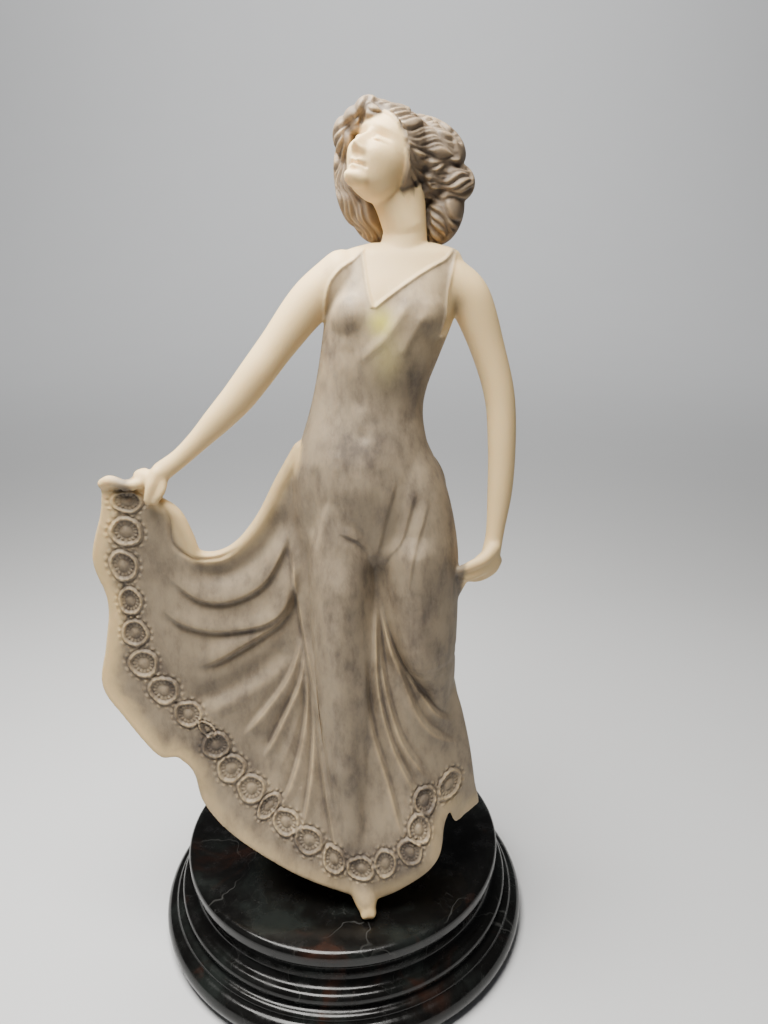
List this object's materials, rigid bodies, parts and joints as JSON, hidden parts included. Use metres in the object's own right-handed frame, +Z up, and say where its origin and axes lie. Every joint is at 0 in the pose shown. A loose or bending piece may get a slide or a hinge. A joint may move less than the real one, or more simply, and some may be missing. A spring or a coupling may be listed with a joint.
{
  "type": "art deco dancer figurine",
  "caption": "Standing dancer in a long clinging dress, one hand lifting the lace-edged skirt out in a swag, on a round turned marble plinth.",
  "frame": {"origin": "centre of the plinth's round underside", "axes": "+Z up, -Y towards the viewer of the figure's front, +X to that viewer's right"},
  "size_m": [0.1422, 0.134, 0.2795],
  "materials": {
    "cast_alabaster_resin": "satin cream alabaster look, with a grey-brown wash left in the folds of the dress and the hair",
    "dark_veined_marble": "polished near-black marble with thin pale veins and red-brown patches"
  },
  "bodies": {
    "root": {"figurine": "cast_alabaster_resin", "plinth": "dark_veined_marble"}
  },
  "joints": []
}
